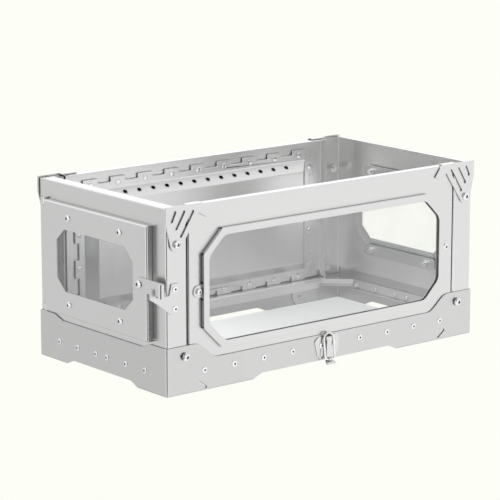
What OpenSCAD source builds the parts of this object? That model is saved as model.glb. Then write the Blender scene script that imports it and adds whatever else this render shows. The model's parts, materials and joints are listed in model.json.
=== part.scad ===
// Folding wood stove for camping. Two end walls and two long walls of bent steel sheet stand
// in a low skirt. The long walls fold down inside it, a door swings on the left end and a
// lock at each corner holds the walls upright. X runs along the stove, the window wall faces
// -Y, the door -X, and the ground is at Z = 0.

/* [Stove] */
// Length of the base over its skirt
base_l = 420; // [390:1:450]
// Width of the base over its skirt
base_w = 222; // [212:1:240]
// Height of the wall tops above the ground
stove_h = 191; // [186:1:205]
// Thickness of the steel sheet
sheet = 1.2; // [1:0.05:1.4]
// Outer radius of the bends in the sheet
bend_r = 2.4; // [2:0.1:2.8]
// Gap between each standing wall and the skirt around it
fit_gap = 0.3; // [0.2:0.05:0.4]

/* [Base skirt] */
// Height of the skirt at its corner ears
ear_h = 49.5; // [47:0.5:51]
// Height of the skirt along its long sides
side_h = 32.3; // [32:0.1:34]
// Height of the skirt along its ends
end_h = 44.5; // [42:0.5:46]
// Length of an ear's level top on the long side
ear_l = 36; // [32:1:40]
// Length over which an ear falls to the long side
ear_fall_l = 30; // [24:1:36]
// Length of an ear's level top on the end
end_ear_l = 27; // [22:1:32]
// Length over which an ear falls to the end
end_ear_fall_l = 15; // [10:1:20]
// Length of a foot along the long side
foot_l = 110.5; // [95:0.5:125]
// Length of a foot along the end
end_foot_l = 49; // [42:1:56]
// Height of the opening between the feet
foot_h = 5; // [3:0.5:7]
// Length of the slope beside each foot
foot_slope_l = 12; // [8:1:16]
// Width of the slanted slot in each foot
foot_slot_w = 2.6; // [2:0.1:3.2]

/* [Ledges] */
// Width of the ledge under each long wall
ledge_w = 10.8; // [10.6:0.1:12]
// Height of the ledges' top above the ground
ledge_top = 29.2; // [28.6:0.1:29.3]
// Height of the ledges' lower edge above the ground
ledge_low = 15; // [14:0.5:16]
// Height of the lip's lower edge above the ground
lip_low = 17.5; // [16.5:0.5:19]
// Length of the long ledges' lip
lip_l = 344; // [320:1:348]
// Length of the ledges at the ends
end_ledge_l = 158; // [154:1:164]
// Distance of each corner brace from its corner
brace_reach = 28.1; // [25:0.5:29]
// Height of the row of rivets
rivet_z = 20.8; // [19.5:0.1:22]
// Spacing of the rivets on the long sides
rivet_pitch = 38.6; // [36:0.1:39]
// Spacing of the rivets on the ends
end_rivet_pitch = 32.5; // [31:0.1:33]

/* [Wall hinges] */
// Height of the axes on which the long walls fold
pivot_z = 31.8; // [31.6:0.1:32.2]
// Distance of those axes from the outside of the skirt
pivot_in = 8; // [7.8:0.1:8.4]
// Radius of the hinge rivets
pivot_r = 1.6; // [1.4:0.1:1.8]
// Radial play of a moving piece on its rivet or screw
play = 0.05; // [0.03:0.01:0.08]

/* [End walls] */
// Width of the post flanges at the corners
post_w = 26; // [24:0.5:28]
// Depth of the lip along each post
post_lip = 7.3; // [6:0.1:8]
// Gap between a post and the long wall beside it
post_gap = 1.5; // [1.3:0.1:2]
// Height of the lower edge of the end panels
end_panel_z = 37; // [35:0.5:40]
// Width of the top flange over the door
door_top_w = 15; // [10:0.5:16]
// Width of the top flange over the far window
far_top_w = 5; // [4:0.5:8]

/* [Windows] */
// Length of the window in the front wall
window_l = 315; // [290:1:320]
// Height of that window's lower edge above the ground
window_low = 47.9; // [47:0.1:56]
// Distance of its upper edge from the wall's top
window_top = 34.1; // [32:0.1:42]
// Length cut off each corner of that window
window_cut = 20; // [15:0.5:24]
// Width of the rim of the window frame
frame_rim = 7.2; // [6.6:0.1:7.6]
// Depth of the window frame over the wall
frame_d = 4.3; // [4.2:0.1:5]
// Length of the windows in the door and the far end
end_window_l = 132.7; // [120:0.1:136]
// Height of the far window's lower edge above the ground
far_window_low = 80.1; // [79:0.1:84]
// Distance of its upper edge from the wall's top
far_window_top = 45.1; // [44:0.1:50]
// Distance of the door's window from the door's lower and upper edges
door_border = 26.35; // [26:0.05:30]
// Thickness of the glass
glass_t = 3; // [2.5:0.1:3]

/* [Door] */
// Width of the door
door_w = 178.7; // [172:0.1:180]
// Height of the door
door_h = 118.5; // [115:0.1:121]
// Height of the door's lower edge above the ground
door_z = 53; // [52:0.1:54]
// Depth of the door's folded tray
door_d = 7.7; // [7.4:0.1:8.5]
// Width of the opening behind the door
opening_w = 164; // [156:1:165]
// How far the door laps over that opening's upper and lower edges
opening_lap = 6.75; // [6:0.05:9]
// Outer radius of the door's hinge barrel
barrel_r = 2.8; // [2.6:0.1:3]

/* [Latch] */
// Height of the latch arm's centre above the ground
latch_z = 111.2; // [108:0.1:114]
// Height of the latch arm
arm_h = 14.5; // [12:0.1:15]
// Thickness of the latch arm and its keeper
arm_t = 1.5; // [1.2:0.1:1.6]

/* [Corner locks] */
// Width of a corner lock
lock_w = 57.5; // [52:0.5:60]
// Height of a corner lock
lock_h = 45.7; // [42:0.1:48]
// Thickness of a corner lock
lock_t = 1.5; // [1.2:0.1:1.7]
// Width of the slots in a corner lock
lock_slot_w = 3; // [2.4:0.1:3.4]

/* [Baffle] */
// Length of the baffle between its bends
baffle_l = 310; // [290:1:320]
// Height of the baffle's lower bend above the ground
baffle_low = 40.6; // [40:0.1:46]
// Distance of its upper bend from the wall's top
baffle_top = 20.6; // [20:0.1:26]
// Depth of the baffle
baffle_d = 12; // [9:0.5:13]
// Width of the border around the baffle
border_w = 6; // [5:0.1:7]
// Spacing of the rivets above and below the baffle
baffle_pitch = 36.3; // [34:0.1:37]
// Spacing of the air holes
air_pitch = 18.8; // [17:0.1:20]
// Radius of the air holes
air_r = 2.5; // [1.8:0.1:3]

/* [Fasteners] */
// Radius of the pop rivets' shanks
rivet_r = 1.6; // [1.4:0.1:1.7]
// Radius of the pop rivets' heads
rivet_head_r = 3.2; // [2.9:0.1:3.4]
// Radius of the pivot screws
screw_r = 2.5; // [2.2:0.1:2.6]
// Radius of the window bolts
bolt_r = 2; // [1.8:0.1:2.1]

/* [Draw latches] */
// Height of a draw latch's plate
draw_h = 24.5; // [23:0.5:25]
// Width of a draw latch's plate
draw_w = 34; // [32:0.5:38]
// Width of the wire loop
loop_w = 14.8; // [14.6:0.1:15.4]
// Length of the wire loop from its pivot
loop_l = 28; // [24:0.5:29]
// Radius of the wire
wire_r = 1; // [0.8:0.05:1]

/* [Hidden] */

steel = [0.78, 0.78, 0.77];
bright_steel = [0.86, 0.86, 0.86];
clear_glass = [0.85, 0.90, 0.90, 0.35];

// How far every cut runs past the face that it opens
over = 1;
// Facets of bends, small fasteners and holes
bend_faces = 32;
round_faces = 24;
arc_steps = 5;
slot_steps = 12;

// Faces that the pieces stand against
side_out = base_w / 2;
end_out = base_l / 2;
side_in = side_out - sheet;
end_in = end_out - sheet;
wall_y = side_in - fit_gap;
wall_x = end_in - fit_gap;

// Outlines of the skirt
side_curve_steps = 12;
function fall(t) = (1 - cos(180 * t)) / 2;
ear_x = end_out - ear_l;
side_curve = [for (i = [0:side_curve_steps])
    [ear_x - i / side_curve_steps * ear_fall_l,
     ear_h - fall(i / side_curve_steps) * (ear_h - side_h)]];
side_top_cut = concat([[ear_x, ear_h + over]], side_curve,
    [for (i = [side_curve_steps:-1:0]) [-side_curve[i].x, side_curve[i].y]],
    [[-ear_x, ear_h + over]]);
end_ear_y = side_out - end_ear_l;
end_top_cut = [[end_ear_y, ear_h + over], [end_ear_y, ear_h],
    [end_ear_y - end_ear_fall_l, end_h], [end_ear_fall_l - end_ear_y, end_h],
    [-end_ear_y, ear_h], [-end_ear_y, ear_h + over]];
function foot_cut(half) = [[half, -over], [half, 0], [half - foot_slope_l, foot_h],
    [foot_slope_l - half, foot_h], [-half, 0], [-half, -over]];
foot_slot_top = [41, 9.5];
foot_slot_low = [49.5, 3];
foot_plate_low = 0.6;
foot_plate_in = 34;
foot_lobe = [58, 12];
foot_lobe_r = 14;
foot_stud = [61, 8.5];
foot_stud_r = 2.4;
foot_stud_h = 1.2;

// Rows of rivets: places along the skirt and how many sheets each one holds
brace_x = end_in - sheet - brace_reach;
brace_y = side_in - sheet - brace_reach;
brace_rivet_in = [17.3, 5.9];
side_rivets = [for (i = [3:-1:0]) brace_x - brace_rivet_in.x - i * rivet_pitch];
end_rivets = [for (i = [2:-1:0]) brace_y - brace_rivet_in.y - i * end_rivet_pitch];
rivet_head_h = 1.1;
rivet_tail_r = 2.7;
rivet_tail_h = 2.2;
rivet_eye_r = 1.1;
head_edge_share = 0.3;
dome_steps = 5;

// Ledges, hinge ears and braces
pivot_y = side_out - pivot_in;
post_edge_x = wall_x - post_w;
panel_x = post_edge_x - post_gap;
hinge_ear_r = 3.8;
ledge_end_x = panel_x - sheet - fit_gap;
lip_corner_r = 8;
end_lip_w = 3;
brace_low = 19;
brace_top = 26.6;
brace_tab_l = 23;
brace_end_tab_l = 10.5;
brace_bend = sheet * tan(22.5);
side_leg_y = side_in - sheet;
end_leg_x = end_in - sheet;
pivot_head_r = 2.9;
pivot_head_h = 1;
pivot_tail_r = 2.3;
pivot_tail_h = 1.5;

// End walls
post_z = 30;
post_lip_z = 50;
opening_h = door_h - 2 * opening_lap;
opening_z = door_z + opening_lap;
opening_y = 2;
opening_r = 4;
ear_screw_in = 22.8;
ear_screw_z = 38.7;
ear_screw_x = end_out - ear_screw_in;
screw_head_r = 4.2;
screw_head_h = 3.3;
screw_neck_r = 3.4;
screw_neck_h = 1.5;
screw_nut_r = 4.6;
screw_nut_h = 4;
screw_end = 2;
socket_share = 0.5;
socket_depth_share = 0.5;
far_window_h = stove_h - far_window_top - far_window_low;
far_window_z = far_window_low + far_window_h / 2;
door_window_h = door_h - 2 * door_border;
end_window_cut = [14, 13];
end_window_r = 2;
pane_lap = 8;
strip_l = 116;
strip_h = 13;
strip_out = 12.9;
strip_boss_r = 4.4;
window_bolt_y = 45;
bolt_head_r = 3.6;
bolt_head_h = 2.4;
bolt_nut_r = 3.9;
bolt_nut_h = 3.2;
bolt_end = 3;
door_nut_h = 2.8;

// Long walls
wall_low = 30.5;
side_flange = 8.8;
top_flange = 10;
hinge_lobe_r = 4;
corner_relief = 1.5;
window_h = stove_h - window_top - window_low;
window_z = window_low + window_h / 2;
window_r = 12;
frame_r = 3;
frame_gap = 0.5;
frame_relief = 2;
lug_r = 6.5;
lug_out = 4.3;
pane_play = 0.8;
glass_back = 0.1;

// Baffle on the back wall
baffle_h = stove_h - baffle_top - baffle_low;
baffle_z = baffle_low + baffle_h / 2;
border_off = 1;
baffle_head_h = 0.6;
tab_w = 20;
tab_out = 5.2;
side_tabs_share = [-0.443, -0.150, 0.142, 0.427];
baffle_tab_in = 1;
air_n = 14;
baffle_n = 9;
collar_r = 2.7;
flush_tail_r = 2;
flush_tail_h = 0.8;

// Door, its hinge and its latch
door_y = 1.9;
door_face = wall_x + fit_gap + door_d;
door_low_y = door_y - door_w / 2;
door_high_y = door_y + door_w / 2;
door_window_z = door_z + door_h / 2;
door_bolt_y = 44.8;
hinge_off = 4.3;
barrel_gap = 0.5;
hinge_x = wall_x + barrel_r + barrel_gap;
hinge_y = door_high_y + hinge_off;
hinge_pin_r = 1.6;
knuckle_h = 7;
curl_in = 7;
door_relief = 1.6;
lug_l = 11;
pin_end = 1.2;
arm_pivot_in = 10.2;
arm_l = 38.8;
arm_pivot_y = door_low_y + arm_pivot_in;
arm_gap = 0.3;
arm_x = door_face + arm_gap;
arm_curl_r = 3.5;
keeper_out = 19.8;
keeper_in = 16.8;
keeper_w = keeper_out + keeper_in;
keeper_h = 31;
keeper_drop = 27.2;
keeper_low = latch_z - keeper_drop;
keeper_rivet_in = 11.3;
keeper_rivet_zs = [5.4, 25.4];
keeper_r = 5.4;
notch_w_share = [0.213, 0.656];
arm_rest = 0.4;
notch_floor = latch_z - arm_h / 2 - arm_rest;

// Corner locks
lock_top = 1.8;
lock_pivot = [12.9, 36.4];
lock_pivot_r = 7.5;
lock_outline_shares = [[0, 1], [0, 0.632], [0.094, 0.151], [0.224, 0.164], [0.341, 0.090],
    [0.713, 0.786], [0.887, 0.665], [1, 0.720], [0.850, 0.965], [0.800, 1]];
lock_slot_shares = [[[0.202, 0.862], [0.132, 0.676]], [[0.395, 0.847], [0.230, 0.505]],
    [[0.590, 0.829], [0.329, 0.326]]];
lock_tab = [27, 46];
lock_tab_in = 6;
lock_y = wall_y + fit_gap;
lock_x = end_out - lock_pivot.x;
lock_z = stove_h - lock_pivot.y;

// Draw latches
draw_t = 1;
draw_low = 6;
draw_shares = [[0.36, 1], [0.5, 0.82], [0.4, 0.2], [0.26, 0], [-0.26, 0], [-0.4, 0.2],
    [-0.5, 0.82], [-0.36, 1]];
draw_corner_r = 2.5;
draw_rivet_x = 7.75;
draw_pin_r = 0.8;
draw_hinge = [2.9, 28.5];
draw_barrel_r = 1.6;
draw_ear_r = 1.9;
draw_ear_t = 0.8;
lever_w = 6.4;
lever_gap = 0.2;
lever_t = 1;
lever_leaf_shares = [[0.5, 0.95], [0.5, 0.24], [1.05, 0.04], [0.9, -0.2],
    [-0.9, -0.2], [-1.05, 0.04], [-0.5, 0.24], [-0.5, 0.95]];
lip_z = 4.2;
lip_out = 4;
lip_drop = 3;
loop_pivot = [5.9, 6];
loop_tube_r = 1.7;
loop_tube_w = 4.4;
loop_lean = 6.9;
loop_corner_r = 4;

function unit(v) = v / norm(v);

// Points of an arc of radius r that rounds corner b between a and c
function corner_arc(a, b, c, r) =
    let (u = unit(a - b), w = unit(c - b), half = acos(u * w) / 2,
         centre = b + unit(u + w) * r / sin(half),
         from = b + u * r / tan(half) - centre, to = b + w * r / tan(half) - centre,
         a0 = atan2(from.y, from.x), turn = atan2(to.y, to.x) - a0,
         sweep = turn > 180 ? turn - 360 : turn < -180 ? turn + 360 : turn)
    [for (i = [0:arc_steps]) centre + r * [cos(a0 + sweep * i / arc_steps),
                                           sin(a0 + sweep * i / arc_steps)]];

// An outline with each corner rounded to radius r
function rounded(pts, r) = [for (i = [0:len(pts) - 1])
    each corner_arc(pts[(i + len(pts) - 1) % len(pts)], pts[i], pts[(i + 1) % len(pts)], r)];

// Eight-sided opening of length l and height h, with corners cut off along and up
function octagon(l, h, cut) = [[l / 2, cut.y - h / 2], [l / 2, h / 2 - cut.y],
    [l / 2 - cut.x, h / 2], [cut.x - l / 2, h / 2], [-l / 2, h / 2 - cut.y],
    [-l / 2, cut.y - h / 2], [cut.x - l / 2, -h / 2], [l / 2 - cut.x, -h / 2]];

// The cut that keeps an octagon's slanted sides parallel when it grows by rim on every side
function grown_cut(cut, rim) = [cut.x + rim * (1 - tan(atan(cut.x / cut.y) / 2)),
                                cut.y + rim * (1 - tan(atan(cut.y / cut.x) / 2))];

// Prism with a profile across X and up Z, between two places along Y
module along_y(y_low, y_high) {
    translate([0, y_high, 0]) rotate([90, 0, 0]) linear_extrude(height = y_high - y_low) children();
}

// Prism with a profile across Y and up Z, between two places along X
module along_x(x_low, x_high) {
    translate([x_low, 0, 0]) rotate([90, 0, 90]) linear_extrude(height = x_high - x_low) children();
}

module both_x() {
    children();
    mirror([1, 0, 0]) children();
}

module both_y() {
    children();
    mirror([0, 1, 0]) children();
}

module four_corners() {
    both_x() both_y() children();
}

// Places something built along +Z so that it points out of a face
module out_front(x, y, z) {
    translate([x, -y, z]) rotate([90, 0, 0]) children();
}

module out_left(x, y, z) {
    translate([-x, y, z]) rotate([0, -90, 0]) children();
}

module out_right(x, y, z) {
    translate([x, y, z]) rotate([0, 90, 0]) children();
}

// Hole of radius r, sunk by depth below the face that it starts from
module bore(r, depth) {
    translate([0, 0, -depth]) cylinder(r = r, h = depth + over, $fn = round_faces);
}

module round_rect(l, w, r) {
    square([l - 2 * r, w], center = true);
    square([l, w - 2 * r], center = true);
    for (x = [-1, 1], y = [-1, 1])
        translate([x * (l / 2 - r), y * (w / 2 - r)]) circle(r = r, $fn = bend_faces);
}

// Rectangle whose two upper corners are rounded
module arch(x_low, x_high, z_low, z_high, r) {
    translate([x_low, z_low]) square([x_high - x_low, z_high - z_low - r]);
    translate([x_low + r, z_low]) square([x_high - x_low - 2 * r, z_high - z_low]);
    for (x = [x_low + r, x_high - r]) translate([x, z_high - r]) circle(r = r, $fn = bend_faces);
}

// What rounds a corner at the origin whose metal lies towards -X and -Z
module corner_waste(r) {
    difference() {
        translate([-r, -r]) square([r + over, r + over]);
        translate([-r, -r]) circle(r = r, $fn = bend_faces);
    }
}

module slot(from, to, w) {
    turn = atan2(to.y - from.y, to.x - from.x);
    polygon([for (end = [[to, turn - 90], [from, turn + 90]], i = [0:slot_steps])
        end[0] + w / 2 * [cos(end[1] + 180 * i / slot_steps), sin(end[1] + 180 * i / slot_steps)]]);
}

// Domed head standing on the plane Z = 0
module dome(r, h) {
    edge = head_edge_share * h;
    rotate_extrude($fn = round_faces)
        polygon(concat([[0, 0], [r, 0]], [for (i = [0:dome_steps])
            [r * cos(90 * i / dome_steps), edge + (h - edge) * sin(90 * i / dome_steps)]]));
}

// Pop rivet through grip of sheet below Z = 0, with its open eye in the head
module pop_rivet(grip) {
    difference() {
        union() {
            dome(rivet_head_r, rivet_head_h);
            translate([0, 0, -grip]) cylinder(r = rivet_r, h = grip, $fn = round_faces);
            translate([0, 0, -grip]) mirror([0, 0, 1]) dome(rivet_tail_r, rivet_tail_h);
        }
        bore(rivet_eye_r, grip);
        cylinder(r = rivet_eye_r, h = rivet_head_h + over, $fn = round_faces);
    }
}

// Screw with a domed socket head on an optional neck, and a shank below Z = 0
module socket_screw(r, shank_l, head_r, head_h, neck_r, neck_h) {
    difference() {
        union() {
            translate([0, 0, -shank_l]) cylinder(r = r, h = shank_l + neck_h, $fn = round_faces);
            if (neck_h > 0) cylinder(r = neck_r, h = neck_h, $fn = round_faces);
            translate([0, 0, neck_h]) dome(head_r, head_h);
        }
        translate([0, 0, neck_h + head_h * (1 - socket_depth_share)])
            cylinder(r = head_r * socket_share, h = head_h, $fn = 6);
    }
}

// Hexagonal nut hanging below Z = 0 on a shank of radius r
module hex_nut(r, nut_r, nut_h) {
    translate([0, 0, -nut_h])
        difference() {
            cylinder(r = nut_r, h = nut_h, $fn = 6);
            translate([0, 0, -over]) cylinder(r = r, h = nut_h + 2 * over, $fn = round_faces);
        }
}

module side_rivet_places(list) {
    four_corners() for (x = list) out_front(x, side_out, rivet_z) children();
}

module draw_rivet_places() {
    four_corners() out_front(draw_rivet_x, side_out, rivet_z) children();
}

module end_rivet_places(list) {
    four_corners() for (y = list) out_right(end_out, y, rivet_z) children();
}

module ear_screw_places() {
    four_corners() out_front(ear_screw_x, side_out, ear_screw_z) children();
}

module lock_places() {
    four_corners() out_front(lock_x, wall_y, lock_z) children();
}

module wall_pivot_places() {
    four_corners() translate([panel_x, pivot_y, pivot_z]) rotate([0, 90, 0]) children();
}

module base_skirt() {
    color(steel)
    difference() {
        linear_extrude(height = ear_h)
            difference() {
                round_rect(base_l, base_w, bend_r);
                round_rect(base_l - 2 * sheet, base_w - 2 * sheet, bend_r - sheet);
            }
        along_y(-side_out - over, side_out + over) {
            polygon(side_top_cut);
            polygon(foot_cut(end_out - foot_l));
            for (s = [-1, 1])
                slot([s * (end_out - foot_slot_top.x), foot_slot_top.y],
                     [s * (end_out - foot_slot_low.x), foot_slot_low.y], foot_slot_w);
        }
        along_x(-end_out - over, end_out + over) {
            polygon(end_top_cut);
            polygon(foot_cut(side_out - end_foot_l));
        }
        side_rivet_places(side_rivets) bore(rivet_r, 2 * sheet);
        draw_rivet_places() bore(rivet_r, 2 * sheet);
        end_rivet_places(end_rivets) bore(rivet_r, 2 * sheet);
        ear_screw_places() bore(screw_r + play, 2 * sheet);
    }
}

// Upside-down channel riveted inside a long side, with the ears that carry the wall's hinge
module long_ledge() {
    lip_face = side_in - ledge_w;
    difference() {
        union() {
            along_x(-ledge_end_x, ledge_end_x)
                difference() {
                    arch(-side_in, -lip_face, ledge_low, ledge_top, bend_r);
                    arch(-side_in + sheet, -lip_face - sheet, ledge_low - over, ledge_top - sheet,
                         bend_r - sheet);
                    translate([-side_in + 2 * sheet, ledge_low - over])
                        square([ledge_w, lip_low - ledge_low + over]);
                }
            both_x() along_x(ledge_end_x - sheet, ledge_end_x) {
                translate([-pivot_y, pivot_z]) circle(r = hinge_ear_r, $fn = bend_faces);
                translate([-pivot_y - hinge_ear_r, ledge_top - sheet])
                    square([2 * hinge_ear_r, pivot_z - ledge_top + sheet]);
            }
        }
        both_x() {
            translate([lip_l / 2, -lip_face - bend_r, lip_low - over])
                cube([ledge_end_x, bend_r + over, ledge_top - sheet - lip_low + over]);
            translate([lip_l / 2, 0, lip_low]) mirror([0, 0, 1])
                along_y(-lip_face - bend_r, -lip_face + over) corner_waste(lip_corner_r);
        }
        side_rivet_places(side_rivets) bore(rivet_r, 3 * sheet);
        draw_rivet_places() bore(rivet_r, 3 * sheet);
        wall_pivot_places() bore(pivot_r, post_lip);
    }
}

module front_ledge() {
    color(steel) long_ledge();
}

module back_ledge() {
    color(steel) mirror([0, 1, 0]) long_ledge();
}

module end_ledge() {
    difference() {
        along_y(-end_ledge_l / 2, end_ledge_l / 2) {
            translate([-end_in, ledge_low]) square([sheet, ledge_top - ledge_low - 2 * sheet]);
            translate([-end_in, ledge_low]) square([sheet + end_lip_w, sheet]);
        }
        end_rivet_places(end_rivets) bore(rivet_r, 3 * sheet);
    }
}

module left_ledge() {
    color(steel) end_ledge();
}

module right_ledge() {
    color(steel) mirror([1, 0, 0]) end_ledge();
}

// Strip across each corner, bent flat against both ledges, with a lip along its lower edge
module corner_braces() {
    lip = end_lip_w * [1, 1] / sqrt(2);
    in_a = [brace_x - brace_bend, side_leg_y - sheet];
    in_b = [end_leg_x - sheet, brace_y - brace_bend];
    color(steel)
    difference() {
        four_corners() {
            translate([0, 0, brace_low]) linear_extrude(height = brace_top - brace_low)
                polygon([[brace_x - brace_tab_l, side_leg_y], [brace_x, side_leg_y],
                    [end_leg_x, brace_y], [end_leg_x, brace_y - brace_end_tab_l],
                    [end_leg_x - sheet, brace_y - brace_end_tab_l], in_b, in_a,
                    [brace_x - brace_tab_l, side_leg_y - sheet]]);
            translate([0, 0, brace_low]) linear_extrude(height = sheet)
                polygon([in_a, in_b, in_b - lip, in_a - lip]);
        }
        side_rivet_places(side_rivets) bore(rivet_r, 4 * sheet);
        end_rivet_places(end_rivets) bore(rivet_r, 4 * sheet);
    }
}

// The last rivet of each row also holds a brace
module base_rivets() {
    color(bright_steel) {
        side_rivet_places([for (i = [0:2]) side_rivets[i]]) pop_rivet(2 * sheet);
        side_rivet_places([side_rivets[3]]) pop_rivet(3 * sheet);
        end_rivet_places([for (i = [0:1]) end_rivets[i]]) pop_rivet(2 * sheet);
        end_rivet_places([end_rivets[2]]) pop_rivet(3 * sheet);
    }
}

// Plate behind the slot in each foot, with a stud on its inner face
module foot_plates() {
    plate_h = ledge_low - fit_gap - foot_plate_low;
    lobe_x = end_out - foot_lobe.x;
    color(steel)
    four_corners() {
        along_y(side_in - sheet, side_in)
            intersection() {
                translate([lobe_x - foot_lobe_r, foot_plate_low])
                    square([foot_lobe_r + foot_lobe.x - foot_plate_in, plate_h]);
                union() {
                    translate([lobe_x, foot_lobe.y]) circle(r = foot_lobe_r, $fn = bend_faces);
                    translate([lobe_x, 0]) square([foot_lobe.x - foot_plate_in, ledge_low]);
                }
            }
        translate([end_out - foot_stud.x, side_in - sheet, foot_stud.y]) rotate([90, 0, 0])
            dome(foot_stud_r, foot_stud_h);
    }
}

// Panel with a post flange and lip folded in at each side, standing at the left end
module end_wall_shell(top_w) {
    centre_x = post_w / 2 - wall_x;
    difference() {
        union() {
            difference() {
                translate([centre_x, 0, post_z]) linear_extrude(height = stove_h - post_z)
                    difference() {
                        round_rect(post_w, 2 * wall_y, bend_r);
                        round_rect(post_w - 2 * sheet, 2 * wall_y - 2 * sheet, bend_r - sheet);
                        translate([0, post_lip - wall_y]) square([post_w, 2 * wall_y - 2 * post_lip]);
                    }
                translate([-wall_x - over, bend_r - wall_y, post_z - over])
                    cube([bend_r + over, 2 * wall_y - 2 * bend_r, end_panel_z - post_z + over]);
                for (z = [[post_z - over, post_lip_z], [stove_h - sheet, stove_h + over]])
                    translate([-post_edge_x - bend_r, sheet - wall_y, z[0]])
                        cube([bend_r + over, 2 * wall_y - 2 * sheet, z[1] - z[0]]);
            }
            translate([-wall_x, bend_r - wall_y, stove_h - sheet])
                cube([top_w, 2 * wall_y - 2 * bend_r, sheet]);
        }
        translate([-wall_x, 0, stove_h]) mirror([1, 0, 0])
            along_y(-wall_y - over, wall_y + over) corner_waste(bend_r / 2);
        ear_screw_places() bore(screw_r, pivot_in);
        lock_places() bore(screw_r, pivot_in);
    }
}

module strip_bolt_places(y_off, z_off) {
    for (y = [-1, 1], z = [-1, 1]) translate([0, y * y_off, z * z_off]) children();
}

module left_end_wall() {
    color(steel)
    difference() {
        end_wall_shell(door_top_w);
        along_x(-wall_x - over, -wall_x + sheet + over)
            translate([opening_y, opening_z + opening_h / 2])
                round_rect(opening_w, opening_h, opening_r);
        keeper_rivet_places() bore(rivet_r, pivot_in);
    }
}

module right_end_wall() {
    color(steel)
    difference() {
        mirror([1, 0, 0]) end_wall_shell(far_top_w);
        along_x(wall_x - sheet - over, wall_x + over)
            translate([0, far_window_z])
                polygon(rounded(octagon(end_window_l, far_window_h, end_window_cut), end_window_r));
        translate([0, 0, far_window_z]) strip_bolt_places(window_bolt_y, strip_z(far_window_h))
            out_right(wall_x, 0, 0) bore(bolt_r, 2 * sheet);
    }
}

// Distance of the clamping strips from the middle of a window of height h
function strip_z(h) = h / 2 + strip_out;

module end_wall_screws() {
    color(bright_steel) ear_screw_places()
        socket_screw(screw_r, 2 * sheet + fit_gap + screw_nut_h + screw_end, screw_head_r,
                     screw_head_h, screw_neck_r, screw_neck_h);
}

module end_wall_nuts() {
    color(bright_steel) ear_screw_places()
        translate([0, 0, -2 * sheet - fit_gap]) hex_nut(screw_r, screw_nut_r, screw_nut_h);
}

// Pane, strips, bolts and nuts of a window. Z = 0 is the outer face of the sheet, X runs up
// and Y along the wall, and everything but the heads lies below
module pane(h) {
    translate([0, 0, -sheet - glass_t]) linear_extrude(height = glass_t) rotate(90)
        polygon(rounded(octagon(end_window_l + 2 * pane_lap, h + 2 * pane_lap,
            grown_cut(end_window_cut, pane_lap)), end_window_r));
}

module clamp_strips(h, bolt_y) {
    for (s = [-1, 1]) translate([s * strip_z(h), 0, 0])
        difference() {
            union() {
                translate([0, 0, -2 * sheet - glass_t]) linear_extrude(height = sheet)
                    round_rect(strip_h, strip_l, opening_r);
                for (y = [-1, 1]) translate([0, y * bolt_y, -sheet - glass_t])
                    cylinder(r = strip_boss_r, h = glass_t, $fn = round_faces);
            }
            for (y = [-1, 1]) translate([0, y * bolt_y, 0]) bore(bolt_r, glass_t + 3 * sheet);
        }
}

module clamp_bolts(h, bolt_y, reach) {
    for (x = [-1, 1], y = [-1, 1]) translate([x * strip_z(h), y * bolt_y, 0])
        socket_screw(bolt_r, 2 * sheet + glass_t + reach, bolt_head_r, bolt_head_h, bolt_r, 0);
}

module clamp_nuts(h, bolt_y, nut_h) {
    for (x = [-1, 1], y = [-1, 1]) translate([x * strip_z(h), y * bolt_y, -2 * sheet - glass_t])
        hex_nut(bolt_r, bolt_nut_r, nut_h);
}

module right_window_glass() {
    color(clear_glass) out_right(wall_x, 0, far_window_z) pane(far_window_h);
}

module right_glass_strips() {
    color(steel) out_right(wall_x, 0, far_window_z) clamp_strips(far_window_h, window_bolt_y);
}

module right_glass_bolts() {
    color(bright_steel) out_right(wall_x, 0, far_window_z)
        clamp_bolts(far_window_h, window_bolt_y, bolt_nut_h + bolt_end);
}

module right_glass_nuts() {
    color(bright_steel) out_right(wall_x, 0, far_window_z)
        clamp_nuts(far_window_h, window_bolt_y, bolt_nut_h);
}

// Knuckles at the two ends of the door's hinge, each on a leaf against the end wall
module door_hinge_lugs() {
    curl_low = door_z + curl_in;
    curl_high = door_z + door_h - curl_in;
    color(steel)
    difference() {
        for (z = [curl_low - fit_gap - knuckle_h, curl_high + fit_gap]) translate([0, 0, z]) {
            translate([-hinge_x, hinge_y, 0]) cylinder(r = barrel_r, h = knuckle_h, $fn = bend_faces);
            translate([-wall_x - sheet, hinge_y, 0]) cube([sheet, lug_l, knuckle_h]);
        }
        translate([-hinge_x, hinge_y, curl_low - 2 * knuckle_h])
            cylinder(r = hinge_pin_r, h = curl_high - curl_low + 4 * knuckle_h, $fn = round_faces);
    }
}

module door_hinge_pin() {
    pin_low = door_z + curl_in - fit_gap - knuckle_h - pin_end;
    pin_high = door_z + door_h - curl_in + fit_gap + knuckle_h + pin_end;
    color(bright_steel) translate([-hinge_x, hinge_y, pin_low])
        cylinder(r = hinge_pin_r, h = pin_high - pin_low, $fn = round_faces);
}

module keeper_rivet_places() {
    for (z = keeper_rivet_zs)
        out_front(keeper_rivet_in - end_out, wall_y + arm_t, keeper_low + z) children();
}

// Plate on the front left post whose open notch holds the latch arm
module latch_keeper() {
    notch_wide = keeper_w * notch_w_share.y;
    notch_narrow = keeper_w * notch_w_share.x;
    floor_h = notch_floor - keeper_low;
    prong_h = keeper_h - arm_t;
    color(steel)
    difference() {
        along_y(-wall_y - arm_t, -wall_y) translate([-end_out - keeper_out, keeper_low])
            difference() {
                polygon(rounded([[0, prong_h], [0, prong_h - 2 * keeper_r], [keeper_r, keeper_h / 2],
                    [keeper_w - 2 * keeper_r, 0], [keeper_w, 0], [keeper_w, keeper_h],
                    [notch_wide + keeper_r / 2, keeper_h], [notch_wide, floor_h],
                    [notch_narrow, floor_h], [notch_narrow - arm_t, prong_h]], arm_t));
            }
        keeper_rivet_places() bore(rivet_r, pivot_in);
    }
}

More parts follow.
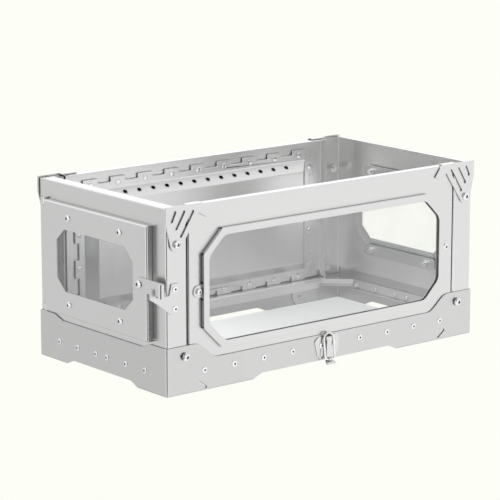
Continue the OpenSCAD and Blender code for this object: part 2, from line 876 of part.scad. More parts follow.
module keeper_rivets() {
    color(bright_steel) keeper_rivet_places() pop_rivet(arm_t + sheet);
}

// Hinge rivets of the long walls: the head outside the wall's flange, the tail in the ledge
module wall_pivot_rivets() {
    grip = 2 * sheet + fit_gap;
    color(bright_steel) wall_pivot_places() {
        dome(pivot_head_r, pivot_head_h);
        translate([0, 0, -grip]) cylinder(r = pivot_r, h = grip, $fn = round_faces);
        translate([0, 0, -grip]) mirror([0, 0, 1]) dome(pivot_tail_r, pivot_tail_h);
    }
}

// Plate, hinge ears and lever of a draw latch, at the front
module draw_base() {
    half_w = lever_w / 2 + lever_gap;
    difference() {
        union() {
            along_y(-side_out - draw_t, -side_out) translate([0, draw_low])
                polygon(rounded([for (p = draw_shares) [p.x * draw_w, p.y * draw_h]], draw_corner_r));
            both_x() along_x(half_w, half_w + draw_ear_t) translate([-side_out, 0]) {
                translate([-draw_hinge.x, draw_hinge.y]) circle(r = draw_ear_r, $fn = bend_faces);
                translate([-draw_hinge.x, draw_hinge.y - draw_ear_r])
                    square([draw_hinge.x, 2 * draw_ear_r]);
            }
        }
        both_x() out_front(draw_rivet_x, side_out + draw_t, rivet_z) bore(rivet_r, 2 * sheet);
        translate([0, -side_out - draw_hinge.x, draw_hinge.y]) rotate([0, 90, 0])
            cylinder(r = draw_pin_r, h = draw_w, center = true, $fn = round_faces);
    }
}

module front_latch_base() {
    color(steel) draw_base();
}

module back_latch_base() {
    color(steel) mirror([0, 1, 0]) draw_base();
}

module latch_rivets() {
    color(bright_steel) draw_rivet_places() translate([0, 0, draw_t]) pop_rivet(2 * sheet + draw_t);
}

module latch_pins() {
    pin_l = lever_w + 2 * lever_gap + 2 * draw_ear_t + 2 * lever_gap;
    color(bright_steel) both_y() translate([0, -side_out - draw_hinge.x, draw_hinge.y])
        rotate([0, 90, 0]) cylinder(r = draw_pin_r, h = pin_l, center = true, $fn = round_faces);
}

// Leaf that hangs from the latch's hinge, with a finger lip at its foot and a tube for the loop
module lever() {
    face = side_out + draw_hinge.x + draw_barrel_r;
    difference() {
        union() {
            intersection() {
                along_x(-draw_w / 2, draw_w / 2)
                    polygon([[-face, draw_hinge.y], [-face, lip_z + lever_t],
                        [-face - lip_out, lip_z - lip_drop + lever_t],
                        [-face - lip_out, lip_z - lip_drop], [lever_t - face, lip_z],
                        [lever_t - face, draw_hinge.y]]);
                along_y(-face - 2 * lip_out, lever_t - face)
                    polygon([for (p = lever_leaf_shares) [p.x * lever_w, p.y * draw_hinge.y]]
                        + [for (p = lever_leaf_shares) [0, (1 - p.y) * lever_gap]]);
            }
            along_x(-lever_w / 2, lever_w / 2) translate([-side_out - draw_hinge.x, draw_hinge.y])
                circle(r = draw_barrel_r, $fn = bend_faces);
            along_x(-lever_w / 2, lever_w / 2) translate([-face, draw_hinge.y - 2 * draw_barrel_r])
                square([lever_t, 2 * draw_barrel_r]);
            along_x(-loop_tube_w / 2, loop_tube_w / 2)
                translate([-side_out - loop_pivot.x, loop_pivot.y])
                circle(r = loop_tube_r, $fn = bend_faces);
        }
        for (p = [[draw_hinge, draw_pin_r], [loop_pivot, wire_r]])
            translate([0, -side_out - p[0].x, p[0].y]) rotate([0, 90, 0])
                cylinder(r = p[1] + play, h = draw_w, center = true, $fn = round_faces);
    }
}

module front_lever() {
    color(steel) lever();
}

module back_lever() {
    color(steel) mirror([0, 1, 0]) lever();
}

module wire(l) {
    cylinder(r = wire_r, h = l, $fn = round_faces);
}

// Closed wire loop, drawn flat with its lower run on the pivot and then leant back
module loop() {
    half_w = loop_w / 2 - wire_r;
    translate([0, -side_out - loop_pivot.x, loop_pivot.y]) rotate([90 - loop_lean, 0, 0])
        both_x() {
            rotate([0, 90, 0]) wire(half_w - loop_corner_r);
            translate([half_w - loop_corner_r, loop_corner_r, 0]) rotate(-90)
                rotate_extrude(angle = 90, $fn = bend_faces)
                    translate([loop_corner_r, 0]) circle(r = wire_r, $fn = round_faces);
            translate([half_w, loop_corner_r, 0]) rotate([-90, 0, 0])
                wire(loop_l - half_w - loop_corner_r);
            translate([0, loop_l - half_w, 0])
                rotate_extrude(angle = 90, $fn = bend_faces)
                    translate([half_w, 0]) circle(r = wire_r, $fn = round_faces);
        }
}

module front_loop() {
    color(bright_steel) loop();
}

module back_loop() {
    color(bright_steel) mirror([0, 1, 0]) loop();
}

module lock_screws() {
    reach = sheet + fit_gap + lock_t + screw_nut_h + screw_end;
    color(bright_steel) lock_places() translate([0, 0, fit_gap + lock_t])
        socket_screw(screw_r, reach, screw_head_r, screw_head_h, screw_r, 0);
}

module lock_nuts() {
    color(bright_steel) lock_places()
        translate([0, 0, -sheet]) hex_nut(screw_r, screw_nut_r, screw_nut_h);
}

// Long wall at the front: a panel with side flanges, a top flange and the hinge lobes
module wall_shell() {
    back_y = wall_y - side_flange;
    difference() {
        union() {
            translate([0, 0, wall_low]) linear_extrude(height = stove_h - wall_low)
                difference() {
                    mirror([0, 1]) arch(-panel_x, panel_x, back_y, wall_y, bend_r);
                    mirror([0, 1]) arch(sheet - panel_x, panel_x - sheet, back_y - over,
                        wall_y - sheet, bend_r - sheet);
                }
            translate([corner_relief + sheet - panel_x, -wall_y, stove_h - sheet])
                cube([2 * (panel_x - sheet - corner_relief), top_flange, sheet]);
            both_x() along_x(panel_x - sheet, panel_x)
                translate([-pivot_y, pivot_z]) circle(r = hinge_lobe_r, $fn = bend_faces);
        }
        translate([0, -wall_y, stove_h]) rotate([0, 0, 90]) mirror([1, 0, 0])
            along_y(-panel_x - over, panel_x + over) corner_waste(bend_r / 2);
        both_x() translate([panel_x - sheet - corner_relief, bend_r - wall_y, stove_h - 2 * bend_r])
            cube([corner_relief, side_flange, 2 * bend_r + over]);
        wall_pivot_places() bore(pivot_r + play, post_lip);
        wall_pivot_places() cylinder(r = pivot_r + play, h = over, $fn = round_faces);
    }
}

module window_screw_places() {
    both_x() out_front(window_l / 2 + frame_rim + lug_out, wall_y, window_z) children();
}

module front_wall_panel() {
    color(steel)
    difference() {
        wall_shell();
        along_y(-wall_y - over, -wall_y + sheet + over) translate([0, window_z])
            polygon(rounded(octagon(window_l, window_h, [window_cut, window_cut]), window_r));
        window_screw_places() bore(bolt_r, 2 * sheet);
    }
}

// Outline of the window frame, drawn in by an amount on every side
module frame_outline(inset) {
    rim = frame_rim - inset;
    polygon(octagon(window_l + 2 * rim, window_h + 2 * rim,
        grown_cut([window_cut, window_cut], rim)));
}

// Rim around the window, folded back along each side, with a lug at each end on the wall
module front_window_frame() {
    front_y = wall_y + frame_d;
    half_l = window_l / 2 + frame_rim;
    half_h = window_h / 2 + frame_rim;
    cut = grown_cut([window_cut, window_cut], frame_rim);
    color(steel)
    difference() {
        union() {
            along_y(-front_y, -front_y + sheet) translate([0, window_z]) frame_outline(0);
            difference() {
                along_y(-front_y, -wall_y - frame_gap) translate([0, window_z])
                    difference() {
                        frame_outline(0);
                        frame_outline(sheet);
                    }
                both_x() for (z = [-1, 1]) {
                    translate([half_l, -front_y + sheet, window_z + z * (half_h - cut.y)])
                        cube([4 * sheet, 2 * frame_d, frame_relief], center = true);
                    translate([half_l - cut.x, -front_y + sheet + frame_d, window_z + z * half_h])
                        cube([frame_relief, 2 * frame_d, 4 * sheet], center = true);
                }
                both_x() for (z = [-1, 1])
                    translate([half_l, -front_y + sheet + frame_d, window_z + z * (lug_r + frame_relief)])
                        cube([4 * sheet, 2 * frame_d, frame_relief], center = true);
            }
            both_x() {
                along_y(-front_y + sheet, -wall_y)
                    translate([half_l - sheet, window_z - lug_r]) square([sheet, 2 * lug_r]);
                along_y(-wall_y - sheet, -wall_y) {
                    translate([half_l + lug_out, window_z]) circle(r = lug_r, $fn = bend_faces);
                    translate([half_l - sheet, window_z - lug_r]) square([lug_out + sheet, 2 * lug_r]);
                }
            }
        }
        along_y(-front_y - over, -front_y + sheet + over) translate([0, window_z])
            polygon(rounded(octagon(window_l, window_h, [window_cut, window_cut]), window_r));
        window_screw_places() bore(bolt_r + play, 2 * frame_d);
        window_screw_places() cylinder(r = bolt_r + play, h = frame_d, $fn = round_faces);
    }
}

module front_window_glass() {
    front_y = wall_y + frame_d - sheet;
    color(clear_glass)
    along_y(-front_y, -wall_y - glass_back) translate([0, window_z]) frame_outline(sheet + pane_play);
}

module window_screws() {
    color(bright_steel) window_screw_places() translate([0, 0, sheet])
        socket_screw(bolt_r, 2 * sheet + bolt_nut_h, bolt_head_r, bolt_head_h, bolt_r, 0);
}

module window_nuts() {
    color(bright_steel) window_screw_places()
        translate([0, 0, -sheet]) hex_nut(bolt_r, bolt_nut_r, bolt_nut_h);
}

// Places of the baffle's rivets: Z = 0 is the outer face of the back wall
module baffle_rivet_places() {
    reach_x = baffle_l / 2 + border_w;
    reach_z = baffle_h / 2 + border_w - baffle_tab_in;
    for (i = [0:baffle_n - 1], s = [-1, 1])
        translate([(i - (baffle_n - 1) / 2) * baffle_pitch, wall_y, baffle_z + s * reach_z])
            rotate([-90, 0, 0]) children();
    for (t = side_tabs_share, s = [-1, 1])
        translate([s * reach_x, wall_y, baffle_z + t * baffle_h]) rotate([-90, 0, 0]) children();
}

module back_wall_panel() {
    color(steel)
    difference() {
        mirror([0, 1, 0]) wall_shell();
        baffle_rivet_places() bore(rivet_r, 2 * sheet);
    }
}

// Block with four slopes at 45 degrees: the baffle's outside, or its hollow
module baffle_block(l, h, d, foot) {
    base_y = wall_y - sheet - border_off;
    intersection() {
        translate([0, 0, -h]) linear_extrude(height = 2 * baffle_z + 2 * h)
            polygon([[-l / 2 - foot, base_y + foot], [d - l / 2, base_y - d],
                [l / 2 - d, base_y - d], [l / 2 + foot, base_y + foot]]);
        along_x(-l, l) translate([0, baffle_z])
            polygon([[base_y + foot, -h / 2 - foot], [base_y - d, d - h / 2],
                [base_y - d, h / 2 - d], [base_y + foot, h / 2 + foot]]);
    }
}

// Shallow tray of sheet over the inside of the back wall, with a tabbed border and air holes
module baffle_tray() {
    base_y = wall_y - sheet - border_off;
    skin = sheet * tan(22.5);
    reach_z = baffle_h / 2 + border_w - baffle_tab_in;
    color(steel)
    difference() {
        union() {
            baffle_block(baffle_l, baffle_h, baffle_d, 0);
            along_y(base_y - sheet, base_y) translate([0, baffle_z]) {
                square([baffle_l + 2 * border_w, baffle_h + 2 * border_w], center = true);
                for (i = [0:baffle_n - 1])
                    translate([(i - (baffle_n - 1) / 2) * baffle_pitch, 0])
                        square([tab_w, baffle_h + 2 * border_w + 2 * tab_out], center = true);
                for (t = side_tabs_share) translate([0, t * baffle_h])
                    square([baffle_l + 2 * border_w + 2 * tab_out, tab_w], center = true);
            }
        }
        baffle_block(baffle_l - 2 * skin, baffle_h - 2 * skin, baffle_d - sheet, over);
        baffle_rivet_places() bore(rivet_r, 4 * sheet + border_off);
        for (i = [0:air_n - 1])
            translate([(i - (air_n - 1) / 2) * air_pitch, base_y - baffle_d / 2,
                       baffle_z + baffle_h / 2 - baffle_d / 2])
                rotate([45, 0, 0]) cylinder(r = air_r, h = 4 * sheet, center = true, $fn = round_faces);
    }
}

// Rivets with a collar that holds the border off the wall, domed on the fire side
module baffle_rivets() {
    depth = sheet + border_off + sheet;
    color(bright_steel) baffle_rivet_places() {
        translate([0, 0, -depth]) cylinder(r = rivet_r, h = depth, $fn = round_faces);
        translate([0, 0, -depth]) mirror([0, 0, 1]) dome(rivet_head_r, baffle_head_h);
        translate([0, 0, -sheet - border_off])
            cylinder(r = collar_r, h = border_off, $fn = round_faces);
        dome(flush_tail_r, flush_tail_h);
    }
}

// Block with its outer face towards -X and the edges around that face rounded
module door_block(inset) {
    r = bend_r - inset;
    depth = inset > 0 ? door_d - inset + over : door_d;
    intersection() {
        translate([0, 0, door_z + inset]) linear_extrude(height = door_h - 2 * inset)
            translate([inset - door_face, door_y]) rotate(90)
                arch(inset - door_w / 2, door_w / 2 - inset, -depth, 0, r);
        along_y(door_low_y, door_high_y)
            translate([inset - door_face, door_z + door_h / 2]) rotate(90)
                arch(inset - door_h / 2, door_h / 2 - inset, -depth, 0, r);
    }
}

// Folded tray with a window, and a hinge barrel curled along its far edge
module door_panel() {
    curl_low = door_z + curl_in;
    curl_h = door_h - 2 * curl_in;
    color(steel)
    difference() {
        union() {
            difference() {
                door_block(0);
                door_block(sheet);
            }
            translate([0, 0, curl_low]) linear_extrude(height = curl_h) {
                translate([-hinge_x, hinge_y]) circle(r = barrel_r, $fn = bend_faces);
                translate([-hinge_x - barrel_r, door_high_y - sheet]) square([sheet, hinge_off + sheet]);
            }
        }
        along_x(-door_face - over, -door_face + sheet + over) translate([door_y, door_window_z])
            polygon(rounded(octagon(end_window_l, door_window_h, end_window_cut), end_window_r));
        for (z = [door_z + sheet, door_z + door_h - sheet - door_relief])
            translate([bend_r - door_face, door_low_y - over, z])
                cube([door_d, door_w + 2 * over, door_relief]);
        translate([-hinge_x, hinge_y, curl_low - over])
            cylinder(r = hinge_pin_r + play, h = curl_h + 2 * over, $fn = round_faces);
        translate([0, door_y, door_window_z]) strip_bolt_places(door_bolt_y, strip_z(door_window_h))
            out_left(door_face, 0, 0) bore(bolt_r, 2 * sheet);
        out_left(door_face, arm_pivot_y, latch_z) bore(bolt_r, 2 * sheet);
    }
}

module door_glass() {
    color(clear_glass) out_left(door_face, door_y, door_window_z) pane(door_window_h);
}

module door_glass_strips() {
    color(steel) out_left(door_face, door_y, door_window_z) clamp_strips(door_window_h, door_bolt_y);
}

module door_bolts() {
    color(bright_steel) out_left(door_face, door_y, door_window_z)
        clamp_bolts(door_window_h, door_bolt_y, door_nut_h);
}

module door_nuts() {
    color(bright_steel) out_left(door_face, door_y, door_window_z)
        clamp_nuts(door_window_h, door_bolt_y, door_nut_h);
}

module latch_screw() {
    color(bright_steel) out_left(arm_x + arm_t + arm_gap, arm_pivot_y, latch_z)
        socket_screw(bolt_r, arm_t + 2 * arm_gap + sheet + bolt_nut_h, screw_head_r, bolt_head_h,
                     bolt_r, 0);
}

module latch_nut() {
    color(bright_steel) out_left(door_face - sheet, arm_pivot_y, latch_z)
        hex_nut(bolt_r, bolt_nut_r, bolt_nut_h);
}

// Flat arm that turns on the door, its free end rolled outwards for the finger
module latch_arm() {
    tip_y = arm_pivot_y - arm_l;
    color(steel)
    difference() {
        union() {
            along_x(-arm_x - arm_t, -arm_x) {
                translate([arm_pivot_y, latch_z]) circle(d = arm_h, $fn = bend_faces);
                translate([tip_y, latch_z - arm_h / 2]) square([arm_l, arm_h]);
            }
            translate([-arm_x - arm_curl_r, tip_y, latch_z - arm_h / 2]) rotate(180)
                rotate_extrude(angle = 180, $fn = bend_faces)
                    translate([arm_curl_r - arm_t, 0]) square([arm_t, arm_h]);
        }
        out_left(arm_x + arm_t, arm_pivot_y, latch_z) bore(bolt_r + play, 2 * arm_t);
    }
}

// Corner lock at the front right: slotted plate, hooked finger and a tab over the wall's top
module corner_lock() {
    top = stove_h + lock_top;
    tab_low = stove_h + fit_gap;
    color(steel)
    difference() {
        union() {
            along_y(-lock_y - lock_t, -lock_y) {
                translate([lock_x, lock_z]) circle(r = lock_pivot_r, $fn = bend_faces);
                polygon([for (p = lock_outline_shares)
                    [end_out - p.x * lock_w, top - (1 - p.y) * lock_h]]);
            }
            along_x(end_out - lock_tab[1], end_out - lock_tab[0])
                translate([-lock_y - lock_t, tab_low]) square([lock_t + lock_tab_in, top - tab_low]);
        }
        along_y(-lock_y - lock_t - over, -lock_y + over)
            for (s = lock_slot_shares)
                slot([end_out - s[0].x * lock_w, top - (1 - s[0].y) * lock_h],
                     [end_out - s[1].x * lock_w, top - (1 - s[1].y) * lock_h], lock_slot_w);
        out_front(lock_x, lock_y + lock_t, lock_z) bore(screw_r + play, 2 * lock_t);
    }
}

module front_right_lock() {
    corner_lock();
}

module front_left_lock() {
    mirror([1, 0, 0]) corner_lock();
}

module back_right_lock() {
    mirror([0, 1, 0]) corner_lock();
}

module back_left_lock() {
    mirror([1, 0, 0]) mirror([0, 1, 0]) corner_lock();
}

base_skirt();
front_ledge();
back_ledge();
left_ledge();
right_ledge();
corner_braces();
base_rivets();
foot_plates();
left_end_wall();
right_end_wall();
end_wall_screws();
end_wall_nuts();
right_window_glass();
right_glass_strips();
right_glass_bolts();
right_glass_nuts();
door_hinge_lugs();
door_hinge_pin();
latch_keeper();
keeper_rivets();
wall_pivot_rivets();
front_latch_base();
back_latch_base();
latch_rivets();
latch_pins();
lock_screws();
lock_nuts();
front_wall_panel();
front_window_frame();
front_window_glass();
window_screws();
window_nuts();
back_wall_panel();
baffle_tray();
baffle_rivets();
door_panel();
door_glass();
door_glass_strips();
door_bolts();
door_nuts();
latch_screw();
latch_nut();
latch_arm();
front_left_lock();
front_right_lock();
back_left_lock();
back_right_lock();
front_lever();
back_lever();
front_loop();
back_loop();
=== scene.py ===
import json
import math

import bmesh
import bpy
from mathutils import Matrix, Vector


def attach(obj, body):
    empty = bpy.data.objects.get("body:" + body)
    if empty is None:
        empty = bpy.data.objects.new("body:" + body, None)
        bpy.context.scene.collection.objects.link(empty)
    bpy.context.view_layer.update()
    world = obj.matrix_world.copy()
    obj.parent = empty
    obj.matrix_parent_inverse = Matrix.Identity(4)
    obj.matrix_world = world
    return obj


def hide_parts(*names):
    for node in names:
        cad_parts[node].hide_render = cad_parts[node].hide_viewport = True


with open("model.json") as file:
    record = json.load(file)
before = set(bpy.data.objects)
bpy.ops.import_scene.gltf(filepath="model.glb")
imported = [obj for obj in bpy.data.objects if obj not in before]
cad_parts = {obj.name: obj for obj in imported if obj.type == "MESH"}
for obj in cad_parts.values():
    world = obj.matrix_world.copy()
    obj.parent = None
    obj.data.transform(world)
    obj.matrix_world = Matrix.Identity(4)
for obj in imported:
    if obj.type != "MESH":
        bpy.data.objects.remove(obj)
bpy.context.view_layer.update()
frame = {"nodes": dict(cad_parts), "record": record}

scene = bpy.context.scene
record = frame["record"]
bodyOf = {node: body for body, nodes in record["behaviour"]["bodies"].items() for node in nodes}
slotOf = {part["node"]: part["material_slot"] for part in record["subparts"]}
print("stove loaded:", len(bodyOf), "nodes")

# camera, standing where the photograph was taken from

cameraSettings = {
    "place": (-1.608, -1.9584, 0.6548),
    "tilt": 77.716,  # degrees up from straight down
    "turn": -39.161,
    "lens": 173.9,
    "sensor": 36,
}


def addCamera(settings):
    data = bpy.data.cameras.new("photoCamera")
    data.lens = settings["lens"]
    data.sensor_width = settings["sensor"]
    camera = bpy.data.objects.new("photoCamera", data)
    camera.location = settings["place"]
    camera.rotation_euler = (math.radians(settings["tilt"]), 0, math.radians(settings["turn"]))
    scene.collection.objects.link(camera)
    scene.camera = camera


addCamera(cameraSettings)
print("camera set")


# node helpers

def newMaterial(name):
    material = bpy.data.materials.new(name)
    material.use_nodes = True
    tree = material.node_tree
    tree.nodes.clear()
    return material, tree


def addNode(tree, kind, settings=None, **links):  # i0, i1 and i2 are sockets by number
    node = tree.nodes.new(kind)
    for key, value in (settings or {}).items():
        setattr(node, key, value)
    for name, value in links.items():
        socket = node.inputs[int(name[1:]) if name[1:].isdigit() else name]
        if isinstance(value, bpy.types.NodeSocket):
            tree.links.new(value, socket)
        else:
            socket.default_value = value
    return node


def spread(tree, value, start, end, kind="LINEAR"):
    node = addNode(tree, "ShaderNodeMapRange", {"interpolation_type": kind}, Value=value)
    for socket, number in zip(("From Min", "From Max", "To Min", "To Max"), (*start, *end)):
        node.inputs[socket].default_value = number
    return node.outputs[0]


def maths(tree, operation, *values):
    numbered = {"i" + str(at): value for at, value in enumerate(values)}
    return addNode(tree, "ShaderNodeMath", {"operation": operation}, **numbered).outputs[0]


def objectPlace(tree):
    return addNode(tree, "ShaderNodeTexCoord").outputs["Object"]


def noise(tree, place, scale, detail, roughness=0.5):
    return addNode(tree, "ShaderNodeTexNoise", Vector=place, Scale=scale, Detail=detail,
                   Roughness=roughness).outputs[0]


def blend(tree, share, first, second):
    return addNode(tree, "ShaderNodeMixRGB", Fac=share, Color1=first, Color2=second).outputs[0]


def mixShaders(tree, share, first, second):
    return addNode(tree, "ShaderNodeMixShader", i0=share, i1=first, i2=second).outputs[0]


def finishTree(tree, shader, kind="ShaderNodeOutputMaterial"):
    tree.links.new(shader, addNode(tree, kind).inputs[0])


# brushed sheet and turned steel

brushed = {
    "colour": (0.78, 0.78, 0.775),
    "grain": (10, 700, 700),  # the streaks run along the small number
    "rough": (0.27, 0.36),
    "bump": 0.02,
    "gapShade": 0.08,  # painted shade: the brightness left deep in a crevice or a hole
}
streaksAlongY = (700, 10, 700)
steelFinishes = {
    "alongX": brushed,
    "alongY": {**brushed, "grain": streaksAlongY},
    "alongZ": {**brushed, "grain": (700, 700, 10), "rough": (0.18, 0.26)},
    "turned": {**brushed, "colour": (0.94, 0.94, 0.94), "grain": (900, 900, 900), "rough": (0.08, 0.16),
               "bump": 0.01},
    "skirtShadedX": {**brushed, "colour": (0.69, 0.69, 0.685)},  # a darker copy of the sheet colour: painted shade on the base skirt
    # the ledges get a lighter copy of the sheet colour: painted light
    "ledgeLitX": {**brushed, "colour": (0.93, 0.93, 0.925)},
    "ledgeLitY": {**brushed, "colour": (0.93, 0.93, 0.925), "grain": streaksAlongY},
    # the back wall panel and the baffle get a lighter copy of the sheet colour: painted light for the shaded
    # inside
    "innerLitX": {**brushed, "colour": (0.88, 0.88, 0.875), "gapShade": 0.75},
    "farY": {**brushed, "grain": streaksAlongY, "gapShade": 0.88, "inside": (0.95, 0.95, 0.945)},
    "innerY": {**brushed, "grain": streaksAlongY, "gapShade": 0.6},  # a pane lies over it
}
steelPattern = {
    "grainDetail": 6.0,
    "grainRoughness": 0.6,
    "cloudScale": 16.0,
    "cloudDetail": 3.0,
    "cloudShare": 0.8,  # how much the clouds count beside the grain
    "patternRange": (0.6, 1.2),
    "dulled": 0.97,
    "bumpDistance": 0.0003,
    "gapReach": 0.004,
    "gapSamples": 8,
    "gapOpenness": (0.1, 0.65),
    "insideFacing": (-0.3, -0.7),  # how far a face looks towards -X
}


def steelMaterial(name, finish, pattern):
    material, tree = newMaterial(name)
    place = objectPlace(tree)
    grainPlace = addNode(tree, "ShaderNodeMapping", Vector=place, Scale=finish["grain"]).outputs[0]
    grain = noise(tree, grainPlace, 1.0, pattern["grainDetail"], pattern["grainRoughness"])
    cloud = noise(tree, place, pattern["cloudScale"], pattern["cloudDetail"])
    both = maths(tree, "MULTIPLY_ADD", cloud, pattern["cloudShare"], grain)
    rough = spread(tree, both, pattern["patternRange"], finish["rough"])
    tone = spread(tree, both, pattern["patternRange"], (0, 1))
    dull = [shade * pattern["dulled"] for shade in finish["colour"]]
    clean = blend(tree, tone, [*dull, 1], [*finish["colour"], 1])
    # painted light: faces turned towards -X get the lighter inside colour
    if "inside" in finish:
        normal = addNode(tree, "ShaderNodeTexCoord").outputs["Normal"]
        facing = addNode(tree, "ShaderNodeSeparateXYZ", Vector=normal).outputs[0]
        inside = spread(tree, facing, pattern["insideFacing"], (0, 1))
        clean = blend(tree, inside, clean, [*finish["inside"], 1])
    # painted shade: the colour is darkened where ambient occlusion finds the surface closed in, deep in
    # crevices and holes
    openness = addNode(tree, "ShaderNodeAmbientOcclusion", {"samples": pattern["gapSamples"]},
                       Distance=pattern["gapReach"]).outputs["AO"]
    unshadedShare = spread(tree, openness, pattern["gapOpenness"], (0, 1))
    paint = blend(tree, unshadedShare, [finish["gapShade"]] * 3 + [1], clean)
    bump = addNode(tree, "ShaderNodeBump", Height=grain, Strength=finish["bump"],
                   Distance=pattern["bumpDistance"]).outputs[0]
    shader = addNode(tree, "ShaderNodeBsdfPrincipled", Metallic=1.0, Roughness=rough, Normal=bump)
    tree.links.new(paint, shader.inputs["Base Color"])
    finishTree(tree, shader.outputs[0])
    return material


steel = {name: steelMaterial("steel_" + name, finish, steelPattern) for name, finish in steelFinishes.items()}

# glass panes

glassFinishes = {
    "window_glass": {"tint": (0.90, 0.93, 0.92, 1), "cover": (0.05, 0.09)},
    "door_glass": {"tint": (0.30, 0.31, 0.31, 1), "cover": (0.17, 0.23)},  # a dark grey tint that covers more than the window glass
}
glassPattern = {
    "rough": 0.03,
    "bending": 1.5,
    "hazeScale": 25.0,
    "hazeDetail": 4.0,
    "hazeRange": (0.3, 0.7),
}


def glassMaterial(name, finish, pattern):
    material, tree = newMaterial(name)
    haze = noise(tree, objectPlace(tree), pattern["hazeScale"], pattern["hazeDetail"])
    cover = spread(tree, haze, pattern["hazeRange"], finish["cover"])
    shader = addNode(tree, "ShaderNodeBsdfPrincipled", Roughness=pattern["rough"], IOR=pattern["bending"],
                     Alpha=cover)
    shader.inputs["Base Color"].default_value = finish["tint"]
    finishTree(tree, shader.outputs[0])
    return material


glass = {name: glassMaterial(name, finish, glassPattern) for name, finish in glassFinishes.items()}
print("materials made")

# finish of each node, where it isn't plain sheet brushed along the stove

nodesWith = {
    "skirtShadedX": ["base_skirt"],
    "innerLitX": ["back_wall_panel", "baffle_tray"],
    "farY": ["right_end_wall"],  # the sheet's inner side, towards -X, is painted lighter: painted light for the shaded inside of the stove
    "innerY": ["door_panel"],
    "ledgeLitX": ["front_ledge", "back_ledge", "corner_braces"],
    "ledgeLitY": ["left_ledge", "right_ledge"],
    "alongY": ["left_end_wall", "door_glass_strips", "right_glass_strips", "latch_arm"],
    "alongZ": ["door_hinge_lugs", "front_latch_base", "back_latch_base", "front_lever", "back_lever"],
    "turned": ["base_rivets", "end_wall_screws", "end_wall_nuts", "right_glass_bolts", "right_glass_nuts",
               "door_hinge_pin", "keeper_rivets", "wall_pivot_rivets", "latch_rivets", "latch_pins",
               "lock_screws", "lock_nuts", "window_screws", "window_nuts", "baffle_rivets", "door_bolts",
               "door_nuts", "latch_screw", "latch_nut", "front_loop", "back_loop"],
}
finishOf = {node: name for name, nodes in nodesWith.items() for node in nodes}

# every sheet piece gets its sheared edges eased by a small bevel

easing = {
    "merge": 1e-6,
    "flat": 0.4,  # degrees up to which faces become one
    "sharp": 30,  # degrees from which an edge is eased
    "evenWeight": 100,
    "sheared": {"width": 0.0003, "segments": 2},
    "pressed": {"width": 0.0009, "segments": 3},  # the rounder bends of the pressed tray
}
pressedNodes = ["baffle_tray"]
smallNodes = ["front_lever", "back_lever", "front_latch_base", "back_latch_base"]  # no room for a full bevel


def mergedMesh(source, settings):
    mesh = source.data.copy()
    work = bmesh.new()
    work.from_mesh(mesh)
    bmesh.ops.remove_doubles(work, verts=work.verts, dist=settings["merge"])
    bmesh.ops.dissolve_limit(work, angle_limit=math.radians(settings["flat"]), verts=work.verts,
                             edges=work.edges)
    for face in work.faces:
        face.smooth = True
    work.to_mesh(mesh)
    work.free()
    return mesh


def easedCopy(node, settings):
    piece = bpy.data.objects.new(node + "_eased", mergedMesh(frame["nodes"][node], settings))
    scene.collection.objects.link(piece)
    edge = settings["pressed" if node in pressedNodes else "sheared"]
    bevel = piece.modifiers.new("eased", "BEVEL")
    bevel.limit_method = "ANGLE"
    bevel.angle_limit = math.radians(settings["sharp"])
    bevel.width = edge["width"]
    bevel.segments = edge["segments"]
    bevel.use_clamp_overlap = node in smallNodes
    shade = piece.modifiers.new("even", "WEIGHTED_NORMAL")
    shade.mode = "FACE_AREA"
    shade.weight = settings["evenWeight"]
    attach(piece, bodyOf[node])
    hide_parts(node)
    return piece


for node in bodyOf:
    finish = finishOf.get(node, "alongX")
    if slotOf[node] == "window_glass":
        target, material = frame["nodes"][node], glass.get(node, glass["window_glass"])
    elif finish == "turned":
        target, material = frame["nodes"][node], steel[finish]
    else:
        target, material = easedCopy(node, easing), steel[finish]
    for place in target.material_slots:
        place.material = material
print("pieces dressed")

# floor and soft studio light

studio = {
    "background": (0.982, 0.991, 0.922, 1),
    "underStove": (0.84, 0.85, 0.85, 1),
    "underWhite": (0.97, 0.98, 0.975, 1),
    "whiteAlong": (0.13, -0.09),  # from shaded to white, towards the stove's left end
    "floorSize": 30,
    "covered": ((-0.186, 0.2088), (-0.087, 0.1098)),  # what the skirt hides of the floor, x and y
    "shade": 0.5,
    # painted shade: under the stove, the floor that the steel mirrors is dimmed
    "mirroredShadeUnder": 0.5,
    "overheadFrom": (0.25, 0.75),  # how steeply a ray climbs where the room gives way to overhead
    # what the steel mirrors in each direction, from -X through -Y, +X and +Y back to -X
    "room": [(0.0, 1.5), (0.06, 1.5), (0.10, 0.15), (0.16, 0.15), (0.20, 1.4), (0.25, 1.3), (0.33, 1.04),
             (0.42, 1.0), (0.55, 1.1), (0.64, 1.35), (0.72, 1.1), (0.80, 0.75), (0.88, 0.70), (0.94, 1.2),
             (1.0, 1.5)],
    "overhead": [(0.0, 0.9), (0.08, 0.3), (0.28, 0.3), (0.36, 0.85), (0.50, 0.95), (0.64, 1.4), (0.80, 1.3),
                 (1.0, 0.9)],
    "floor": [(0.0, 1.2), (0.04, 1.2), (0.08, 0.12), (0.19, 0.12), (0.23, 1.2), (0.33, 1.0), (0.55, 1.0),
              (0.65, 0.74), (0.92, 0.74), (1.0, 1.2)],
    "floorCorner": (-0.21, -0.111, 0),  # the stove's corner that stands nearest to the camera
}


def roundGlow(tree, direction, glows):
    brightest = max(glow for at, glow in glows)
    turn = addNode(tree, "ShaderNodeTexGradient", {"gradient_type": "RADIAL"}, Vector=direction)
    ramp = addNode(tree, "ShaderNodeValToRGB", Fac=turn.outputs["Fac"])
    stops = ramp.color_ramp.elements
    stops[0].position, stops[1].position = glows[0][0], glows[-1][0]
    for at, glow in glows[1:-1]:
        stops.new(at)
    for stop, (at, glow) in zip(stops, glows):
        stop.color = [glow / brightest] * 3 + [1]
    return maths(tree, "MULTIPLY", ramp.outputs[0], brightest)


def seenDirectly(tree, paths):
    return maths(tree, "MAXIMUM", paths["Is Camera Ray"], paths["Is Transmission Ray"])


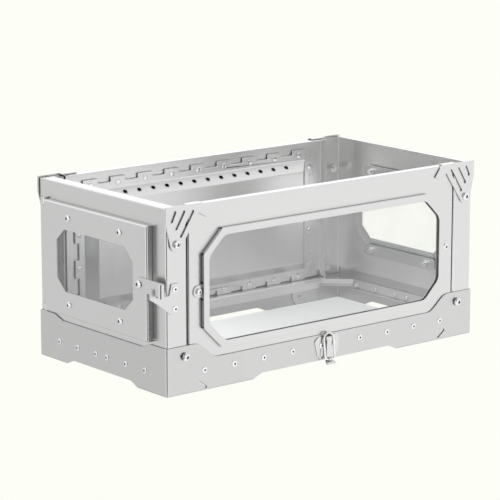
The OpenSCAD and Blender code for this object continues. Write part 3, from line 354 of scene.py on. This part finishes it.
def floorMaterial(settings):
    material, tree = newMaterial("studio_floor")
    paths = addNode(tree, "ShaderNodeLightPath").outputs
    place = objectPlace(tree)
    axes = addNode(tree, "ShaderNodeSeparateXYZ", Vector=place).outputs
    within = [maths(tree, "COMPARE", axis, (low + high) / 2, (high - low) / 2)
              for axis, (low, high) in zip(axes, settings["covered"])]
    under = maths(tree, "MULTIPLY", *within)
    fromCorner = addNode(tree, "ShaderNodeVectorMath", {"operation": "SUBTRACT"}, i0=place,
                         i1=settings["floorCorner"]).outputs[0]
    # painted shade: the mirrored floor is dimmed where the stove covers it
    strength = maths(tree, "MULTIPLY", roundGlow(tree, fromCorner, settings["floor"]),
                     spread(tree, under, (0, 1), (1, settings["mirroredShadeUnder"])))
    paint = addNode(tree, "ShaderNodeBsdfDiffuse", Color=settings["underStove"]).outputs[0]
    white = addNode(tree, "ShaderNodeEmission", Color=settings["background"]).outputs[0]
    pale = addNode(tree, "ShaderNodeEmission", Color=settings["underWhite"]).outputs[0]
    mirrored = addNode(tree, "ShaderNodeEmission", Strength=strength).outputs[0]
    shaded = spread(tree, axes[0], settings["whiteAlong"], (settings["shade"], 0), "SMOOTHSTEP")
    shown = mixShaders(tree, under, white, mixShaders(tree, shaded, pale, paint))
    lit = mixShaders(tree, seenDirectly(tree, paths), paint, shown)
    finishTree(tree, mixShaders(tree, paths["Is Glossy Ray"], lit, mirrored))
    return material


def addFloor(settings):
    mesh = bpy.data.meshes.new("studioFloor")
    work = bmesh.new()
    bmesh.ops.create_grid(work, x_segments=1, y_segments=1, size=settings["floorSize"] / 2)
    work.to_mesh(mesh)
    work.free()
    floor = bpy.data.objects.new("studioFloor", mesh)
    mesh.materials.append(floorMaterial(settings))
    scene.collection.objects.link(floor)


def lightWorld(settings):
    world = bpy.data.worlds.new("studioWorld")
    world.use_nodes = True
    tree = world.node_tree
    tree.nodes.clear()
    paths = addNode(tree, "ShaderNodeLightPath").outputs
    direction = addNode(tree, "ShaderNodeTexCoord").outputs["Generated"]
    height = addNode(tree, "ShaderNodeSeparateXYZ", Vector=direction).outputs[2]
    above = spread(tree, height, settings["overheadFrom"], (0, 1), "SMOOTHSTEP")
    strength = addNode(tree, "ShaderNodeMix", {"data_type": "FLOAT"}, i0=above,
                       i2=roundGlow(tree, direction, settings["room"]),
                       i3=roundGlow(tree, direction, settings["overhead"])).outputs[0]
    room = addNode(tree, "ShaderNodeBackground", Color=(1, 1, 1, 1), Strength=strength).outputs[0]
    white = addNode(tree, "ShaderNodeBackground", Color=settings["background"]).outputs[0]
    finishTree(tree, mixShaders(tree, seenDirectly(tree, paths), room, white), "ShaderNodeOutputWorld")
    scene.world = world


lamps = [
    {"name": "softKey", "place": (-1.2, -1.6, 2.2), "size": 1.6, "energy": 16},
    {"name": "softFill", "place": (1.8, -1.0, 1.6), "size": 1.6, "energy": 8},
]


def addLamp(lamp):
    data = bpy.data.lights.new(lamp["name"], "AREA")
    data.size = lamp["size"]
    data.energy = lamp["energy"]
    light = bpy.data.objects.new(lamp["name"], data)
    light.location = lamp["place"]
    light.rotation_euler = (-Vector(lamp["place"])).to_track_quat("-Z", "Y").to_euler()
    light.visible_glossy = False  # the steel mirrors the room alone
    scene.collection.objects.link(light)


addFloor(studio)
lightWorld(studio)
for lamp in lamps:
    addLamp(lamp)
scene.view_settings.view_transform = "Standard"
print("studio lit")
